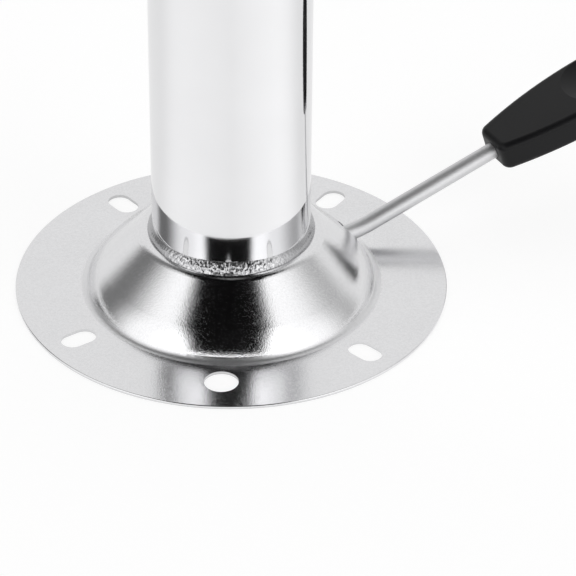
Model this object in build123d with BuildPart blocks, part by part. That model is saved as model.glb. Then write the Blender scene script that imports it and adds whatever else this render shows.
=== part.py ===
from build123d import *

import os
from math import cos, hypot, radians, sin, tan

# Seat plate of a gas-lift bar stool, standing on the face that screws to the seat.
# Origin at the centre of that face, +Z up the column sleeve, the two round screw holes on the Y axis.

# Pressed plate: a flat flange drawn up into a dome, a cone that steepens at its foot, with a flat land on top
FLANGE_DIAMETER = 165.0
SHEET = 1.2
RIM_ROUND = 0.4
DOME_HEIGHT = 25.0
DOME_FLANK_ANGLE = 44.0
DOME_SHOULDER_RADIUS = 25.0
DOME_FOOT_ANGLE = 66.0
FOOT_FILLET = 3.0
LAND_MARGIN = 0.4
LAND_FILLET = 5.0

# Screw holes: radial slots and two round holes, with the angle of each one
SLOT_CIRCLE_DIAMETER = 138.0
SLOT_LENGTH = 14.0
SLOT_WIDTH = 9.0
SLOT_ANGLES = (-142.3, -41.1, 58.4, 131.7)
HOLE_CIRCLE_DIAMETER = 134.4
HOLE_DIAMETER = 12.7
HOLE_ANGLES = (-90.0, 90.0)

# Column sleeve, a plain tube welded on the land
SLEEVE_DIAMETER = 60.0
SLEEVE_WALL = 1.5
SLEEVE_LENGTH = 155.0
SLEEVE_EDGE_ROUND = 0.4
SLEEVE_WELD_HEIGHT = 3.5
SLEEVE_WELD_WIDTH = 1.8
SLEEVE_WELD_BULGE = 0.4

# Taper socket, a turned bush that grips the cone of the gas lift
SOCKET_DIAMETER = 36.0
SOCKET_HEIGHT = 50.0
SOCKET_COLLAR_DIAMETER = 46.0
SOCKET_COLLAR_HEIGHT = 3.0
SOCKET_SPIGOT = 4.0
SOCKET_MOUTH_DIAMETER = 28.2
SOCKET_CHAMFER = 1.0
TAPER_HALF_ANGLE = 1.44
SOCKET_WELD_LEG = 2.5

# Release lever, a bent rod that rocks on a pin under the dome
LEVER_AZIMUTH = 30.0
ROD_DIAMETER = 6.5
ROD_AXIS_HEIGHT = 7.2
ROD_BEND_REACH = 54.3
ROD_BEND_RADIUS = 40.0
ROD_RISE_ANGLE = 18.0
PIVOT_REACH = 38.0
LEVER_LIFT_ANGLE = 6.0
EYE_THICKNESS = 4.5
EYE_HEIGHT = 9.4
EYE_LENGTH = 14.0
TONGUE_PAST_AXIS = 5.0
TONGUE_LENGTH = 16.0
TONGUE_WIDTH = 9.0
TONGUE_THICKNESS = 4.0

# Window in the dome that the rod leaves through
WINDOW_SIDE_CLEARANCE = 1.0
WINDOW_STOP_CLEARANCE = 0.4
WINDOW_CORNER = 3.0

# Pivot bracket folded from sheet, with its pin and clip
BRACKET_SHEET = 2.0
BRACKET_SIDE_CLEARANCE = 0.3
BRACKET_WEB_REACH = 31.0
BRACKET_WEB_LENGTH = 6.5
BRACKET_EAR_RADIUS = 5.0
BRACKET_EAR_WIDTH = 6.0
BRACKET_FOLD_ROUND = 1.0
BRACKET_WELD_LEG = 2.0
PIN_DIAMETER = 4.0
PIN_RUNNING_CLEARANCE = 0.05
PIN_HEAD_DIAMETER = 7.0
PIN_HEAD_HEIGHT = 1.6
PIN_TAIL = 1.2
CLIP_DIAMETER = 8.0
CLIP_THICKNESS = 0.8
CLIP_GROOVE_DIAMETER = 3.2
CLIP_MOUTH = 2.6

# Paddle grip moulded in plastic and pressed on the rod
GRIP_START = 64.0
GRIP_LENGTH = 66.0
GRIP_THICKNESS = 12.5
GRIP_NECK_WIDTH = 17.0
GRIP_WIDTH = 32.0
GRIP_CORNER = 4.0
GRIP_EDGE_ROUND = 2.5
GRIP_HOLE_DEPTH = 38.0
THUMB_HOLLOW_DEPTH = 1.6
THUMB_HOLLOW_RADIUS = 60.0

os.makedirs("parts", exist_ok=True)

sleeve_radius = SLEEVE_DIAMETER / 2
socket_radius = SOCKET_DIAMETER / 2
rod_radius = ROD_DIAMETER / 2

# Pivot stack across the lever, from the middle outwards: eye, running gap, bracket ear, weld run
ear_inside = EYE_THICKNESS / 2 + BRACKET_SIDE_CLEARANCE
ear_outside = ear_inside + BRACKET_SHEET
bracket_outside = ear_outside + BRACKET_WELD_LEG

# The land's flat carries the sleeve's weld on top and the bracket's weld runs below
flank_angle = radians(DOME_FLANK_ANGLE)
foot_angle = radians(DOME_FOOT_ANGLE)
sleeve_weld_reach = sleeve_radius + SLEEVE_WELD_WIDTH
bracket_weld_reach = hypot(BRACKET_WEB_REACH, bracket_outside)
land_flat_radius = max(sleeve_weld_reach, bracket_weld_reach) + LAND_MARGIN
land_radius = land_flat_radius + LAND_FILLET * tan(flank_angle / 2)
land_underside = DOME_HEIGHT - SHEET

# Down from the land: the straight flank, the shoulder that steepens it and the fillet into the flange
shoulder_drop = DOME_SHOULDER_RADIUS * (cos(flank_angle) - cos(foot_angle))
shoulder_reach = DOME_SHOULDER_RADIUS * (sin(foot_angle) - sin(flank_angle))
foot_drop = FOOT_FILLET * (1 - cos(foot_angle))
foot_reach = FOOT_FILLET * sin(foot_angle)
flank_drop = DOME_HEIGHT - SHEET - shoulder_drop - foot_drop
dome_foot_radius = land_radius + flank_drop / tan(flank_angle) + shoulder_reach + foot_reach

# The lever's own upright plane: local X runs outwards along the lever and local Y is up
upwards = Vector(0, 0, 1)
lever_direction = Vector(cos(radians(LEVER_AZIMUTH)), sin(radians(LEVER_AZIMUTH)), 0)
lever_plane = Plane(origin=(0, 0, 0), x_dir=lever_direction, z_dir=lever_direction.cross(upwards))

# The window follows the rod from its rest to its highest place where it leaves the flank
rod_exit_radius = land_radius + (DOME_HEIGHT - ROD_AXIS_HEIGHT) / tan(flank_angle)
rod_bend_start = ROD_BEND_REACH - ROD_BEND_RADIUS * tan(radians(ROD_RISE_ANGLE / 2))
rod_bow = max(rod_exit_radius - rod_bend_start, 0) ** 2 / (2 * ROD_BEND_RADIUS)
rod_lift = (rod_exit_radius - PIVOT_REACH) * sin(radians(LEVER_LIFT_ANGLE))
window_bottom = ROD_AXIS_HEIGHT - rod_radius - WINDOW_STOP_CLEARANCE
window_top = ROD_AXIS_HEIGHT + rod_radius + rod_bow + rod_lift + WINDOW_STOP_CLEARANCE
window_centre = lever_plane.from_local_coords((land_radius, (window_bottom + window_top) / 2, 0))
window_plane = Plane(origin=window_centre, x_dir=-lever_plane.z_dir, z_dir=lever_direction)

with BuildPart() as seat_plate:
    with BuildSketch(Plane.XZ):
        with BuildLine() as upper_face:
            land = Line((socket_radius, DOME_HEIGHT), (land_radius, DOME_HEIGHT))
            flank = PolarLine(land @ 1, flank_drop / sin(flank_angle), -DOME_FLANK_ANGLE)
            shoulder = JernArc(flank @ 1, flank % 1, DOME_SHOULDER_RADIUS, DOME_FLANK_ANGLE - DOME_FOOT_ANGLE)
            foot = JernArc(shoulder @ 1, shoulder % 1, FOOT_FILLET, DOME_FOOT_ANGLE)
            Line(foot @ 1, (FLANGE_DIAMETER / 2, SHEET))
            fillet(upper_face.vertices().sort_by_distance(land @ 1)[0], LAND_FILLET)
            offset(amount=SHEET, side=Side.RIGHT)
        make_face()
    revolve(axis=Axis.Z)
    rim_edges = seat_plate.edges().filter_by(GeomType.CIRCLE).sort_by(SortBy.RADIUS)[-2:]
    fillet(rim_edges.sort_by(Axis.Z)[-1], RIM_ROUND)
    with BuildSketch(Plane.XY):
        for angle in SLOT_ANGLES:
            with PolarLocations(SLOT_CIRCLE_DIAMETER / 2, 1, angle):
                SlotOverall(SLOT_LENGTH, SLOT_WIDTH)
        for angle in HOLE_ANGLES:
            with PolarLocations(HOLE_CIRCLE_DIAMETER / 2, 1, angle):
                Circle(HOLE_DIAMETER / 2)
    extrude(amount=SHEET, mode=Mode.SUBTRACT)
    with BuildSketch(window_plane):
        RectangleRounded(ROD_DIAMETER + 2 * WINDOW_SIDE_CLEARANCE, window_top - window_bottom, WINDOW_CORNER)
    extrude(amount=dome_foot_radius - land_radius, mode=Mode.SUBTRACT)
seat_plate.part.label = "seat_plate"

with BuildPart() as column_sleeve:
    with BuildSketch(Plane.XY.offset(DOME_HEIGHT)):
        Circle(sleeve_radius)
        Circle(sleeve_radius - SLEEVE_WALL, mode=Mode.SUBTRACT)
    extrude(amount=SLEEVE_LENGTH)
    fillet(column_sleeve.faces().sort_by(Axis.Z)[-1].edges(), SLEEVE_EDGE_ROUND)
column_sleeve.part.label = "column_sleeve"

with BuildPart() as sleeve_weld:
    with BuildSketch(Plane.XZ):
        with BuildLine():
            toe = Line((sleeve_radius, DOME_HEIGHT), (sleeve_weld_reach, DOME_HEIGHT))
            crown = SagittaArc(toe @ 1, (sleeve_radius, DOME_HEIGHT + SLEEVE_WELD_HEIGHT), -SLEEVE_WELD_BULGE)
            Line(crown @ 1, toe @ 0)
        make_face()
    revolve(axis=Axis.Z)
sleeve_weld.part.label = "sleeve_weld"

socket_bottom = land_underside - SOCKET_SPIGOT
socket_top = DOME_HEIGHT + SOCKET_HEIGHT
mouth_radius = SOCKET_MOUTH_DIAMETER / 2
throat_radius = mouth_radius - (socket_top - socket_bottom) * tan(radians(TAPER_HALF_ANGLE))

with BuildPart() as taper_socket:
    with BuildSketch(Plane.XY.offset(socket_bottom)):
        Circle(socket_radius)
    extrude(amount=socket_top - socket_bottom)
    with BuildSketch(Plane.XY.offset(DOME_HEIGHT)):
        Circle(SOCKET_COLLAR_DIAMETER / 2)
    extrude(amount=SOCKET_COLLAR_HEIGHT)
    with BuildSketch(Plane.XZ):
        Polygon(
            (0, socket_bottom),
            (throat_radius, socket_bottom),
            (mouth_radius, socket_top),
            (0, socket_top),
            align=None,
        )
    revolve(axis=Axis.Z, mode=Mode.SUBTRACT)
    chamfer(taper_socket.faces().sort_by(Axis.Z)[-1].edges(), SOCKET_CHAMFER)
taper_socket.part.label = "taper_socket"

with BuildPart() as socket_weld:
    with BuildSketch(Plane.XZ):
        Polygon(
            (socket_radius, land_underside),
            (socket_radius + SOCKET_WELD_LEG, land_underside),
            (socket_radius, land_underside - SOCKET_WELD_LEG),
            align=None,
        )
    revolve(axis=Axis.Z)
socket_weld.part.label = "socket_weld"

pivot = (PIVOT_REACH, ROD_AXIS_HEIGHT)
web_middle = BRACKET_WEB_REACH - BRACKET_WEB_LENGTH / 2
web_underside = land_underside - BRACKET_SHEET

with BuildPart() as lever_bracket:
    with BuildSketch(lever_plane):
        with BuildLine():
            Line((BRACKET_WEB_REACH - BRACKET_EAR_WIDTH, land_underside), (BRACKET_WEB_REACH, land_underside))
            CenterArc(pivot, BRACKET_EAR_RADIUS, 0, 360)
        make_hull()
        with Locations((web_middle, land_underside - BRACKET_SHEET / 2)):
            Rectangle(BRACKET_WEB_LENGTH, BRACKET_SHEET)
    extrude(amount=ear_outside, both=True)
    folds = lever_bracket.edges().filter_by(Axis((0, 0, 0), lever_direction)).group_by(Axis.Z)[-1]
    fillet(folds, BRACKET_FOLD_ROUND)
    with BuildSketch(lever_plane):
        with Locations((web_middle, web_underside / 2)):
            Rectangle(2 * PIVOT_REACH, web_underside)
    extrude(amount=ear_inside, both=True, mode=Mode.SUBTRACT)
    with BuildSketch(lever_plane):
        with Locations(pivot):
            Circle(PIN_DIAMETER / 2)
    extrude(amount=ear_outside, both=True, mode=Mode.SUBTRACT)
lever_bracket.part.label = "lever_bracket"

with BuildPart() as bracket_weld:
    weld_start = lever_plane.from_local_coords((BRACKET_WEB_REACH - BRACKET_WEB_LENGTH, land_underside, 0))
    with BuildSketch(Plane(origin=weld_start, x_dir=-lever_plane.z_dir, z_dir=lever_direction)):
        for side_sign in (-1, 1):
            Polygon(
                (side_sign * ear_outside, 0),
                (side_sign * bracket_outside, 0),
                (side_sign * ear_outside, -BRACKET_WELD_LEG),
                align=None,
            )
    extrude(amount=BRACKET_WEB_LENGTH)
bracket_weld.part.label = "bracket_weld"

with BuildPart() as pivot_pin:
    with BuildSketch(lever_plane.offset(ear_outside)):
        with Locations(pivot):
            Circle(PIN_HEAD_DIAMETER / 2)
    extrude(amount=PIN_HEAD_HEIGHT)
    with BuildSketch(lever_plane.offset(ear_outside)):
        with Locations(pivot):
            Circle(PIN_DIAMETER / 2)
    extrude(amount=-(2 * ear_outside + CLIP_THICKNESS + PIN_TAIL))
    with BuildSketch(lever_plane.offset(-ear_outside)):
        with Locations(pivot):
            Circle(PIN_DIAMETER / 2)
            Circle(CLIP_GROOVE_DIAMETER / 2, mode=Mode.SUBTRACT)
    extrude(amount=-CLIP_THICKNESS, mode=Mode.SUBTRACT)
pivot_pin.part.label = "pivot_pin"

with BuildPart() as pin_clip:
    with BuildSketch(lever_plane.offset(-ear_outside)):
        with Locations(pivot):
            Circle(CLIP_DIAMETER / 2)
            Circle(CLIP_GROOVE_DIAMETER / 2, mode=Mode.SUBTRACT)
        with Locations((PIVOT_REACH, ROD_AXIS_HEIGHT - CLIP_DIAMETER / 2)):
            Rectangle(CLIP_MOUTH, CLIP_DIAMETER, mode=Mode.SUBTRACT)
    extrude(amount=-CLIP_THICKNESS)
pin_clip.part.label = "pin_clip"

# The rod's outer run, from its bend towards the grip
rise = radians(ROD_RISE_ANGLE)
run_direction = lever_direction * cos(rise) + upwards * sin(rise)
bend_point = lever_plane.from_local_coords((ROD_BEND_REACH, ROD_AXIS_HEIGHT, 0))
rod_end = GRIP_START + GRIP_HOLE_DEPTH
tongue_root = TONGUE_LENGTH - TONGUE_PAST_AXIS - TONGUE_WIDTH / 2

with BuildPart() as lever_rod:
    with BuildLine(lever_plane) as rod_line:
        FilletPolyline(
            (tongue_root, ROD_AXIS_HEIGHT),
            (ROD_BEND_REACH, ROD_AXIS_HEIGHT),
            (ROD_BEND_REACH + rod_end * cos(rise), ROD_AXIS_HEIGHT + rod_end * sin(rise)),
            radius=ROD_BEND_RADIUS,
        )
    with BuildSketch(Plane(origin=rod_line.line @ 0, z_dir=rod_line.line % 0)):
        Circle(rod_radius)
    sweep()
    with BuildSketch(lever_plane):
        with Locations(pivot):
            Rectangle(EYE_LENGTH, ROD_DIAMETER)
    extrude(amount=rod_radius, both=True, mode=Mode.SUBTRACT)
    with BuildSketch(lever_plane):
        with Locations(pivot):
            SlotOverall(EYE_LENGTH + EYE_HEIGHT / 2, EYE_HEIGHT)
            Circle(PIN_DIAMETER / 2 + PIN_RUNNING_CLEARANCE, mode=Mode.SUBTRACT)
    extrude(amount=EYE_THICKNESS / 2, both=True)
    with BuildSketch(Plane(origin=(0, 0, ROD_AXIS_HEIGHT), x_dir=lever_direction, z_dir=upwards)):
        with Locations((TONGUE_LENGTH / 2 - TONGUE_PAST_AXIS, 0)):
            SlotOverall(TONGUE_LENGTH, TONGUE_WIDTH)
    extrude(amount=TONGUE_THICKNESS / 2, both=True)
lever_rod.part.label = "lever_rod"

# The grip lies on the rod's outer run: local X along the rod, local Y across it
grip_plane = Plane(
    origin=bend_point + run_direction * GRIP_START,
    x_dir=run_direction,
    z_dir=run_direction.cross(lever_plane.z_dir) * -1,
)
grip_round_centre = GRIP_LENGTH - GRIP_WIDTH / 2
hollow_height = GRIP_THICKNESS / 2 + THUMB_HOLLOW_RADIUS - THUMB_HOLLOW_DEPTH

with BuildPart() as lever_grip:
    with BuildSketch(grip_plane):
        with BuildLine():
            neck = Line((0, -GRIP_NECK_WIDTH / 2), (0, GRIP_NECK_WIDTH / 2))
            far_round = ThreePointArc(
                (grip_round_centre, GRIP_WIDTH / 2), (GRIP_LENGTH, 0), (grip_round_centre, -GRIP_WIDTH / 2)
            )
            TangentArc(far_round @ 0, neck @ 1, tangent=(-1, 0))
            TangentArc(far_round @ 1, neck @ 0, tangent=(-1, 0))
        make_face()
    extrude(amount=GRIP_THICKNESS / 2, both=True)
    neck_corners = lever_grip.edges().filter_by(Axis((0, 0, 0), grip_plane.z_dir))
    fillet(neck_corners.group_by(Axis((0, 0, 0), grip_plane.x_dir))[0], GRIP_CORNER)
    outline = lever_grip.faces().filter_by(Axis((0, 0, 0), grip_plane.z_dir)).edges()
    fillet(outline, GRIP_EDGE_ROUND)
    with Locations(grip_plane.from_local_coords((grip_round_centre, 0, hollow_height))):
        Sphere(THUMB_HOLLOW_RADIUS, mode=Mode.SUBTRACT)
    with BuildSketch(Plane(origin=grip_plane.origin, z_dir=run_direction)):
        Circle(rod_radius)
    extrude(amount=GRIP_HOLE_DEPTH, mode=Mode.SUBTRACT)
lever_grip.part.label = "lever_grip"

pieces = (
    seat_plate,
    column_sleeve,
    sleeve_weld,
    taper_socket,
    socket_weld,
    lever_bracket,
    bracket_weld,
    pivot_pin,
    pin_clip,
    lever_rod,
    lever_grip,
)
for piece in pieces:
    export_step(piece.part, f"parts/{piece.part.label}.step")
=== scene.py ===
from math import cos, pi, radians, sin

import bpy
from mathutils import Euler, Matrix, Vector, noise


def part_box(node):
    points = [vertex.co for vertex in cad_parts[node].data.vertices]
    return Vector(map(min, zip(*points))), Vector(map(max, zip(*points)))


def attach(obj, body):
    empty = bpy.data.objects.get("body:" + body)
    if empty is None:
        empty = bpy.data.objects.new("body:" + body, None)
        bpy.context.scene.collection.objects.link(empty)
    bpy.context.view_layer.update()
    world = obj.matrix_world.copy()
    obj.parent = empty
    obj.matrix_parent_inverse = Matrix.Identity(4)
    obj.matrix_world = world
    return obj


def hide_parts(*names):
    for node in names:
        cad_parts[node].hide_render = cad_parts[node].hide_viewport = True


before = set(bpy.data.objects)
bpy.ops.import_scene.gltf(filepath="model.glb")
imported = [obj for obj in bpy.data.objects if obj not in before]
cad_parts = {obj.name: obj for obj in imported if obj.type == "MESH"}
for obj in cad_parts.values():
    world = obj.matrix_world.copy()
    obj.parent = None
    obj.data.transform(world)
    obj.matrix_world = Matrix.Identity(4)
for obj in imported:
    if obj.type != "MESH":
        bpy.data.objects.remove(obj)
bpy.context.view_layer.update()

# Seat plate: a disc of mild steel sheet, drawn in a press to a flat flange and a round dome.
# The holes are pierced, and chrome goes over the skin that drawing leaves, so it shines softly, with
# a fine grain and small dull pits. The tool's edge scored a dull ring round the dome's foot.


class Channel:
    """A shader socket that takes part in Python sums, so that a finish reads as a formula."""

    def __init__(self, socket):
        self.socket = socket

    def node(self, kind, settings, sockets, output=0):
        """Adds a node to this socket's tree: settings first, then values or links of its sockets."""
        tree = self.socket.id_data
        node = tree.nodes.new(kind)
        for name, value in settings.items():
            setattr(node, name, value)
        for name, value in sockets.items():
            if isinstance(value, Channel):
                tree.links.new(value.socket, node.inputs[name])
            else:
                node.inputs[name].default_value = value
        return Channel(node.outputs[output])

    def math(self, operation, *operands):
        return self.node("ShaderNodeMath", {"operation": operation}, dict(enumerate(operands)))

    def __add__(self, other):
        return self.math("ADD", self, other)

    def __radd__(self, other):
        return self.math("ADD", other, self)

    def __sub__(self, other):
        return self.math("SUBTRACT", self, other)

    def __rsub__(self, other):
        return self.math("SUBTRACT", other, self)

    def __mul__(self, other):
        return self.math("MULTIPLY", self, other)

    def __rmul__(self, other):
        return self.math("MULTIPLY", other, self)

    def __abs__(self):
        return self.math("ABSOLUTE", self)

    def most(self, other):
        """The greater of two values."""
        return self.math("MAXIMUM", self, other)

    def between(self, low, high):
        """From low where this value is 0 to high where it is 1."""
        return low + self * (high - low)

    def step(self, start, end):
        """A smooth step from 0 at start to 1 at end."""
        sockets = {"Value": self, "From Min": start, "From Max": end}
        return self.node("ShaderNodeMapRange", {"interpolation_type": "SMOOTHSTEP"}, sockets)

    def noise(self, scale, detail, roughness=0.5):
        """Noise from 0 to 1 over this vector, with a scale in cells to the metre."""
        sockets = {"Vector": self, "Scale": scale, "Detail": detail, "Roughness": roughness}
        return self.node("ShaderNodeTexNoise", {}, sockets)

    def along(self, axis):
        """This vector's share along an axis."""
        return self.node("ShaderNodeVectorMath", {"operation": "DOT_PRODUCT"}, {0: self, 1: axis}, 1)

    def stretched(self, x, y, z):
        """This vector with each axis scaled by itself."""
        return self.node("ShaderNodeVectorMath", {"operation": "MULTIPLY"}, {0: self, 1: (x, y, z)})

    def length(self):
        return self.node("ShaderNodeVectorMath", {"operation": "LENGTH"}, {0: self}, 1)

    def heading(self):
        """This vector brought to a length of 1."""
        return self.node("ShaderNodeVectorMath", {"operation": "NORMALIZE"}, {0: self})

    def tint(self, dark, light):
        """A colour between two, by this value."""
        sockets = {0: self, 6: (*dark, 1), 7: (*light, 1)}
        return self.node("ShaderNodeMix", {"data_type": "RGBA"}, sockets, output=2)

    def bump(self, depth):
        """A normal from this height, where 1 stands depth metres proud."""
        return self.node("ShaderNodeBump", {}, {"Height": self, "Distance": depth})

    def feeds(self, shader, name):
        self.socket.id_data.links.new(self.socket, shader.inputs[name])


def finish(name, **constants):
    """A new material, its shader with constants set, and the surface's own coordinates in metres."""
    material = bpy.data.materials.new(name)
    material.use_nodes = True
    nodes = material.node_tree.nodes
    shader = nodes["Principled BSDF"]
    for socket, value in constants.items():
        shader.inputs[socket.replace("_", " ")].default_value = value
    return material, shader, Channel(nodes.new("ShaderNodeTexCoord").outputs["Object"])


def dress(node, material):
    """Puts one material on a carried-over solid."""
    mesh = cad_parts[node].data
    mesh.materials.clear()
    mesh.materials.append(material)


PRESSING_DARK, PRESSING_LIGHT = (0.70, 0.70, 0.71), (0.79, 0.79, 0.80)
CLOUD_SCALE, SPECK_SCALE, GRAIN_SCALE = 45, 1300, 2600
SPECK_DARK, SPECK_LIGHT = 0.30, 0.70
DOME_ROUGHNESS, FLANGE_ROUGHNESS, SCORED_ROUGHNESS = 0.125, 0.135, 0.36
CLOUD_ROUGHNESS = 0.05
PIT_START, PIT_END, PIT_ROUGHNESS = 0.55, 0.69, 0.078
GRAIN_DEPTH, FLANGE_CALM = 0.000020, 0.30
SCORED_START, SCORED_END, SCORED_EDGE = 0.0550, 0.0570, 0.001

pressing, shader, place = finish("plated_pressing", Metallic=1.0)
radius = place.stretched(1, 1, 0).length()
flat = radius.step(SCORED_START, SCORED_END)
scored_inside = radius.step(SCORED_START - SCORED_EDGE, SCORED_START)
scored = scored_inside * radius.step(SCORED_END + SCORED_EDGE, SCORED_END)
cloud = place.noise(CLOUD_SCALE, 4)
grain = place.noise(GRAIN_SCALE, 2)
speck = place.noise(SPECK_SCALE, 2)
mottle = cloud * 0.5 + speck.step(SPECK_DARK, SPECK_LIGHT) * 0.5
mottle.tint(PRESSING_DARK, PRESSING_LIGHT).feeds(shader, "Base Color")
plain = flat.between(DOME_ROUGHNESS, FLANGE_ROUGHNESS) + (cloud - 0.5) * CLOUD_ROUGHNESS
pits = speck.step(PIT_START, PIT_END)
(plain + pits * PIT_ROUGHNESS + scored * (SCORED_ROUGHNESS - plain)).feeds(shader, "Roughness")
((grain + speck) * (1 - flat * FLANGE_CALM)).bump(GRAIN_DEPTH).feeds(shader, "Normal")
dress("seat_plate", pressing)

# Taper socket: a bush turned from bar, its bore a slow cone that jams on the gas lift.
# Its collar sits on the land, and a fillet weld under the land holds it.

TURNED_DARK, TURNED_LIGHT = (0.30, 0.29, 0.28), (0.44, 0.43, 0.42)
TURNED_FEED, TURNED_DEPTH = 0.0003, 0.00003
RING_SCALE, STAIN_SCALE = 30, 90
RING_SHARE, STAIN_SHARE = 0.6, 0.4
TURNED_ROUGHNESS, RING_ROUGHNESS = 0.28, 0.16

turned, shader, place = finish("turned_steel", Metallic=1.0)
rings = place.stretched(RING_SCALE, RING_SCALE, 1 / TURNED_FEED).noise(1, 2)
stained = rings * RING_SHARE + place.noise(STAIN_SCALE, 4) * STAIN_SHARE
stained.tint(TURNED_DARK, TURNED_LIGHT).feeds(shader, "Base Color")
(TURNED_ROUGHNESS + rings * RING_ROUGHNESS).feeds(shader, "Roughness")
rings.bump(TURNED_DEPTH).feeds(shader, "Normal")
dress("taper_socket", turned)

# Socket weld: the bead under the land that holds the bush, plated over like all the welds.
# Their skin is a plain dull grey. Only where the run round the sleeve was stopped, at the front,
# has spatter left bright and dark specks on it, the bright ones partly painted glints.

WELD_DARK, WELD_LIGHT = (0.24, 0.24, 0.25), (0.82, 0.82, 0.83)
WELD_PLAIN = 0.30
SPATTER_SCALE, SPATTER_BREAKUP = 1100, 0.6
SPATTER_DARK, SPATTER_LIGHT = 0.30, 0.72
WELD_ROUGHNESS, SPATTER_ROUGHNESS = 0.20, 0.16
SPATTER_DEPTH = 0.000008
LAP_ANGLE = radians(-92.6)
LAP_FROM, LAP_FULL = 0.019, 0.027

weld_skin, shader, place = finish("plated_weld", Metallic=1.0)
spatter = place.noise(SPATTER_SCALE, 3, SPATTER_BREAKUP)
lapped = place.along((cos(LAP_ANGLE), sin(LAP_ANGLE), 0)).step(LAP_FROM, LAP_FULL)
# Base colour: plain grey, and at the lap spatter specks whose bright ones are partly painted glints.
spatter_and_painted_glints = lapped.between(WELD_PLAIN, spatter.step(SPATTER_DARK, SPATTER_LIGHT))
spatter_and_painted_glints.tint(WELD_DARK, WELD_LIGHT).feeds(shader, "Base Color")
(WELD_ROUGHNESS + spatter * SPATTER_ROUGHNESS).feeds(shader, "Roughness")
spatter.bump(SPATTER_DEPTH).feeds(shader, "Normal")
dress("socket_weld", weld_skin)

# Column sleeve: a length of welded steel tube, ground and polished before it is plated.
# It stands on the land and hides the gas lift. The weld, as it cooled, drew its foot in a hair.

CHROME_DARK, CHROME_LIGHT = (0.77, 0.77, 0.78), (0.83, 0.83, 0.84)
POLISH_ROUND, POLISH_UP = 60, 2200
POLISH_SHARE, POLISH_DEPTH = 0.15, 0.000012
HAZE_SCALE, WAVE_SCALE = 35, 55
CHROME_ROUGHNESS, HAZE_ROUGHNESS, POLISH_ROUGHNESS = 0.03, 0.03, 0.015
NECK_START, NECK_END, NECK_DEPTH = 0.030, 0.044, 0.00026

chrome, shader, place = finish("chrome_tube", Metallic=1.0)
polish = place.stretched(POLISH_ROUND, POLISH_ROUND, POLISH_UP).noise(1, 3)
neck = place.along((0, 0, 1)).step(NECK_START, NECK_END) * NECK_DEPTH
haze = place.noise(HAZE_SCALE, 4)
waves = polish * POLISH_SHARE + place.noise(WAVE_SCALE, 1)
haze.tint(CHROME_DARK, CHROME_LIGHT).feeds(shader, "Base Color")
(CHROME_ROUGHNESS + haze * HAZE_ROUGHNESS + polish * POLISH_ROUGHNESS).feeds(shader, "Roughness")
(neck + waves * POLISH_DEPTH).bump(1.0).feeds(shader, "Normal")
dress("column_sleeve", chrome)

# Sleeve weld: one run of weld right round the foot of the sleeve, plated with the rest.
# Each pulse of the torch leaves a crescent on the last. At the front the run's end laps its start,
# where it stands higher, spills wider and is full of lumps.

sleeve_low, sleeve_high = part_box("column_sleeve")
weld_low, weld_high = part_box("sleeve_weld")
SLEEVE_RADIUS = (sleeve_high.x - sleeve_low.x) / 2
WELD_RADIUS = (weld_high.x - weld_low.x) / 2
WELD_BULGE, WELD_SUNK = 0.0004, 0.0001
RIPPLE_COUNT, RIPPLE_DEPTH, RIPPLE_LAG = 110, 0.00003, 0.5
CRESCENT_MEAN = 0.6
LUMP_SIZE, LUMP_DEPTH = 0.0010, 0.00005
LUMP_FADE, LUMP_FINER, LUMP_LAYERS = 0.8, 2.0, 2
LAP_SPREAD = 6
LAP_RISE, LAP_SPILL, LAP_ROUGHER = 0.0004, 0.0015, 9.0
WELD_TURNS, WELD_ROWS = 960, 18


def bead_point(turn, row):
    """A point of the weld: turn runs round the sleeve, row from its wall down to the land."""
    angle = 2 * pi * turn / WELD_TURNS
    share = row / (WELD_ROWS - 1)
    lap = max(cos(angle - LAP_ANGLE), 0) ** LAP_SPREAD
    inside = SLEEVE_RADIUS - WELD_SUNK
    run = WELD_RADIUS + LAP_SPILL * lap - inside
    drop = weld_high.z - weld_low.z + WELD_SUNK + LAP_RISE * lap
    outwards = Vector((drop, run)).normalized()
    radius = inside + run * share
    height = weld_low.z - WELD_SUNK + drop * (1 - share)
    place = Vector((radius * cos(angle), radius * sin(angle), height))
    lumps = noise.fractal(place / LUMP_SIZE, LUMP_FADE, LUMP_FINER, LUMP_LAYERS)
    phase = RIPPLE_COUNT * angle + RIPPLE_LAG * 2 * pi * (share - 0.5) ** 2
    crescent = abs(sin(phase / 2 + lumps)) - CRESCENT_MEAN
    uneven = RIPPLE_DEPTH * crescent + LUMP_DEPTH * lumps * (1 + LAP_ROUGHER * lap)
    proud = sin(pi * share) * (WELD_BULGE + uneven)
    radius += proud * outwards.x
    return Vector((radius * cos(angle), radius * sin(angle), height + proud * outwards.y))


def build(name, points, faces, material):
    """A new piece from its points and faces, in one material."""
    mesh = bpy.data.meshes.new(name)
    mesh.from_pydata(points, [], faces)
    mesh.materials.append(material)
    piece = bpy.data.objects.new(name, mesh)
    bpy.context.collection.objects.link(piece)
    return piece


points = [bead_point(turn, row) for turn in range(WELD_TURNS) for row in range(WELD_ROWS)]
faces = []
for turn in range(WELD_TURNS):
    here, after = turn * WELD_ROWS, (turn + 1) % WELD_TURNS * WELD_ROWS
    for row in range(WELD_ROWS - 1):
        faces.append((here + row, here + row + 1, after + row + 1, after + row))
weld_bead = build("weld_bead", points, faces, weld_skin)
weld_bead.data.polygons.foreach_set("use_smooth", [True] * len(faces))
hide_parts("sleeve_weld")
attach(weld_bead, "base")

# Pivot bracket: a strip of sheet folded to a fork and welded under the land, zinc plated.
# The lever's flattened eye hangs between its two ears, on a pin of the same finish.

ZINC_DARK, ZINC_LIGHT = (0.46, 0.47, 0.48), (0.60, 0.61, 0.62)
SPANGLE_SCALE, ZINC_GRAIN_SCALE = 500, 1800
ZINC_ROUGHNESS, SPANGLE_ROUGHNESS = 0.30, 0.2
ZINC_GRAIN_DEPTH = 0.00001

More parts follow.
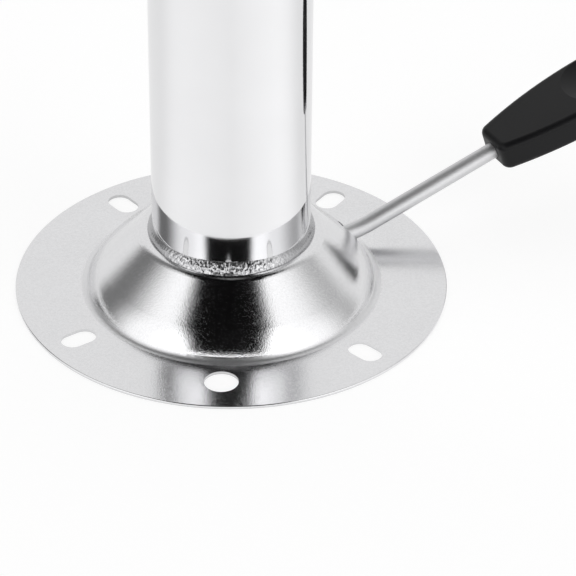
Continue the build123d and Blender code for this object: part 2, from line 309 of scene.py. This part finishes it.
zinc, shader, place = finish("zinc_sheet", Metallic=1.0)
spangle = place.noise(SPANGLE_SCALE, 3)
spangle.tint(ZINC_DARK, ZINC_LIGHT).feeds(shader, "Base Color")
(ZINC_ROUGHNESS + spangle * SPANGLE_ROUGHNESS).feeds(shader, "Roughness")
place.noise(ZINC_GRAIN_SCALE, 2).bump(ZINC_GRAIN_DEPTH).feeds(shader, "Normal")
dress("lever_bracket", zinc)
dress("pivot_pin", zinc)
dress("bracket_weld", weld_skin)

# Pin clip: an open ring of hardened spring steel, left dark from tempering.
# It snaps into the groove at the pin's tail and keeps the pin in the fork.

SPRING_DARK, SPRING_LIGHT = (0.06, 0.06, 0.07), (0.13, 0.12, 0.12)
TEMPER_SCALE = 600
SPRING_ROUGHNESS, TEMPER_ROUGHNESS = 0.32, 0.15

spring, shader, place = finish("spring_steel", Metallic=1.0)
temper = place.noise(TEMPER_SCALE, 3)
temper.tint(SPRING_DARK, SPRING_LIGHT).feeds(shader, "Base Color")
(SPRING_ROUGHNESS + temper * TEMPER_ROUGHNESS).feeds(shader, "Roughness")
dress("pin_clip", spring)

# Lever rod: drawn steel rod, flattened at its eye and its tongue, bent once and plated.
# It is plated as drawn, without polishing, so its skin is dull and its reflections are soft.

ROD_DARK, ROD_LIGHT = (0.67, 0.67, 0.68), (0.77, 0.77, 0.78)
DRAWN_SCALE, DRAWN_DEPTH = 900, 0.00001
ROD_ROUGHNESS, DRAWN_ROUGHNESS = 0.46, 0.10

rod, shader, place = finish("plated_rod", Metallic=1.0)
drawn = place.noise(DRAWN_SCALE, 3)
drawn.tint(ROD_DARK, ROD_LIGHT).feeds(shader, "Base Color")
(ROD_ROUGHNESS + drawn * DRAWN_ROUGHNESS).feeds(shader, "Roughness")
drawn.bump(DRAWN_DEPTH).feeds(shader, "Normal")
dress("lever_rod", rod)

# Grip: a paddle moulded in black plastic and pressed on the rod.
# The mould was spark-eroded, which gives it a fine even skin, a little worn where fingers touch.

GRIP_BLACK, GRIP_WORN = (0.006, 0.006, 0.007), (0.012, 0.012, 0.013)
SKIN_SCALE, TOUCH_SCALE = 2400, 60
TOUCH_SHARE, SKIN_SHARE = 0.6, 0.4
GRIP_ROUGHNESS, TOUCH_ROUGHNESS, SKIN_ROUGHNESS = 0.30, 0.12, 0.06
SKIN_DEPTH = 0.00002

plastic, shader, place = finish("black_plastic", IOR=1.49, Specular_IOR_Level=0.22)
skin = place.noise(SKIN_SCALE, 2)
touch = place.noise(TOUCH_SCALE, 3)
worn = touch * TOUCH_SHARE + skin * SKIN_SHARE
worn.tint(GRIP_BLACK, GRIP_WORN).feeds(shader, "Base Color")
(GRIP_ROUGHNESS + touch * TOUCH_ROUGHNESS + skin * SKIN_ROUGHNESS).feeds(shader, "Roughness")
skin.bump(SKIN_DEPTH).feeds(shader, "Normal")
dress("lever_grip", plastic)

# Studio: a pale backdrop with a tall softbox each side of the camera, brighter towards it.
# The chrome mirrors the rest: the dark gap round the camera is the black patch down the dome, the
# grey gaps behind the boxes are its grey bands. The ceiling is dark, with one grey panel overhead.

VIEW_TURN = radians(3.3)
VIEW_RIGHT = (cos(VIEW_TURN), sin(VIEW_TURN), 0.0)
VIEW_AHEAD = (-sin(VIEW_TURN), cos(VIEW_TURN), 0.0)
CAMERA_GAP_MIDDLE, CAMERA_GAP_HALF = -0.050, 0.455
CAMERA_GAP_LOW, CAMERA_GAP_END = 0.285, 0.245
EDGE = 0.055
BOX_WHITE, BOX_NEAR_WHITE = 1.30, 1.65
BOX_NEAR_START, BOX_NEAR_END = -0.35, -0.60
BOX_FADE_START, BOX_FADE_END, BOX_SKEW = -0.28, 0.27, 0.056
LEFT_GAP_GREY, RIGHT_GAP_GREY = 0.22, 0.58
BACKDROP_START, BACKDROP_END, BACKDROP_SKEW = 0.37, 0.59, 0.13
DARK, BACKDROP_GREY = 0.002, 0.94
CEILING_START, CEILING_END, CEILING_LEAN = 0.84, 0.90, 0.10
CEILING_BACK, CEILING_FRONT = 0.35, 0.10
PANEL_START, PANEL_END, PANEL_GREY = 0.988, 0.996, 0.22

world = bpy.data.worlds.new("studio")
world.use_nodes = True
bpy.context.scene.world = world
background = world.node_tree.nodes["Background"]
background.inputs["Color"].default_value = (1, 1, 1, 1)
look = Channel(world.node_tree.nodes.new("ShaderNodeTexCoord").outputs["Generated"])
seen = Channel(world.node_tree.nodes.new("ShaderNodeLightPath").outputs["Is Camera Ray"])
across = look.along(VIEW_RIGHT)
ahead = look.along(VIEW_AHEAD)
height = look.along((0, 0, 1))
off_middle = abs(across - CAMERA_GAP_MIDDLE)
beside = off_middle.step(CAMERA_GAP_HALF - EDGE, CAMERA_GAP_HALF + EDGE)
below = height.step(CAMERA_GAP_LOW, CAMERA_GAP_END)
box_white = ahead.step(BOX_NEAR_START, BOX_NEAR_END).between(BOX_WHITE, BOX_NEAR_WHITE)
boxes = beside.most(below).between(DARK, box_white)
gap_grey = across.step(-EDGE, EDGE).between(LEFT_GAP_GREY, RIGHT_GAP_GREY)
past_box = ahead + across * BOX_SKEW
gaps = past_box.step(BOX_FADE_START, BOX_FADE_END).between(boxes, gap_grey)
past_gap = ahead + across * BACKDROP_SKEW
walls = past_gap.step(BACKDROP_START, BACKDROP_END).between(gaps, BACKDROP_GREY)
leaning = height + ahead * CEILING_LEAN
overhead = leaning.step(CEILING_START, CEILING_END) * ahead.step(CEILING_BACK, CEILING_FRONT)
ceiling = DARK + height.step(PANEL_START, PANEL_END) * PANEL_GREY
room = overhead.between(walls, ceiling)
seen.between(room, 1).feeds(background, "Strength")

# Table: a large white sheet that the part stands on, and that the camera and the chrome see pale.
# In the chrome's mirror its emission has painted light: a painted pool of light at the softboxes'
# feet, a painted falloff to the back, and a painted shadow of the plate on what lies under it.

TABLE_SIZE = 8.0
TABLE_GREY, TABLE_LIFT = 0.30, 0.81
# Strengths of the painted light in the chrome's mirror: falloff to the back, pools at the boxes' feet,
# shadow under the plate.
PAINTED_FALLOFF, FALL_START, FALL_END = 0.08, -0.2, 0.4
LEFT_PAINTED_GLOW, RIGHT_PAINTED_GLOW, GLOW_BLEND = 0.07, 0.15, 0.2
GLOW_BACK, GLOW_FRONT = 0.3, -0.5
PLATE_PAINTED_SHADOW, SHADE_START, SHADE_FULL = 0.20, 0.084, 0.080

table_white, shader, place = finish(
    "table_white",
    Base_Color=(TABLE_GREY, TABLE_GREY, TABLE_GREY, 1),
    Roughness=0.9,
    Specular_IOR_Level=0.0,
    Emission_Strength=1.0,
)
light_path = table_white.node_tree.nodes.new("ShaderNodeLightPath")
seen, mirrored, through = (
    Channel(light_path.outputs[ray]) for ray in ("Is Camera Ray", "Is Glossy Ray", "Is Transmission Ray")
)
bearing = place.heading()
sideways, behind = bearing.along(VIEW_RIGHT), bearing.along(VIEW_AHEAD)
# Painted shadow: in the chrome's mirror the table under the plate is darker.
painted_shadow_under_plate = place.length().step(SHADE_START, SHADE_FULL)
mirrored_with_painted_shadow = mirrored * (1 - painted_shadow_under_plate * PLATE_PAINTED_SHADOW)
# Painted pools of light at the softboxes' feet, left and right, seen only in the chrome's mirror.
painted_box_glow = sideways.step(-GLOW_BLEND, GLOW_BLEND).between(LEFT_PAINTED_GLOW, RIGHT_PAINTED_GLOW)
painted_pool_under_boxes = abs(sideways) * behind.step(GLOW_BACK, GLOW_FRONT) * painted_box_glow
lift = seen.most(mirrored_with_painted_shadow.most(through))
# Even white for the camera, plus painted pools of light and a painted falloff to the back for the
# chrome.
white_and_painted_light = lift * TABLE_LIFT + mirrored * (painted_pool_under_boxes - behind.step(FALL_START, FALL_END) * PAINTED_FALLOFF)
white_and_painted_light.tint((0, 0, 0), (1, 1, 1)).feeds(shader, "Emission Color")
half = TABLE_SIZE / 2
corners = [(-half, -half, 0), (half, -half, 0), (half, half, 0), (-half, half, 0)]
table = build("table", corners, [(0, 1, 2, 3)], table_white)

# Camera: a long lens from above and in front, level but for a hair of roll.
# It looks down at some 34 degrees and cuts off the sleeve's top and the grip's end.

CAMERA_PLACE = (0.0552, -0.9569, 0.6449)
CAMERA_TILT, CAMERA_HEADING, CAMERA_ROLL = radians(55.947), radians(2.007), radians(0.490)
CAMERA_LENS, CAMERA_SENSOR, CAMERA_NEAR = 188.4, 36.0, 0.01

camera = bpy.data.objects.new("camera", bpy.data.cameras.new("camera"))
camera.data.lens = CAMERA_LENS
camera.data.sensor_width = CAMERA_SENSOR
camera.data.clip_start = CAMERA_NEAR
facing = Euler((CAMERA_TILT, 0, CAMERA_HEADING)).to_matrix() @ Matrix.Rotation(CAMERA_ROLL, 3, "Z")
camera.matrix_world = Matrix.Translation(CAMERA_PLACE) @ facing.to_4x4()
bpy.context.collection.objects.link(camera)
bpy.context.scene.camera = camera
bpy.context.scene.view_settings.view_transform = "Standard"
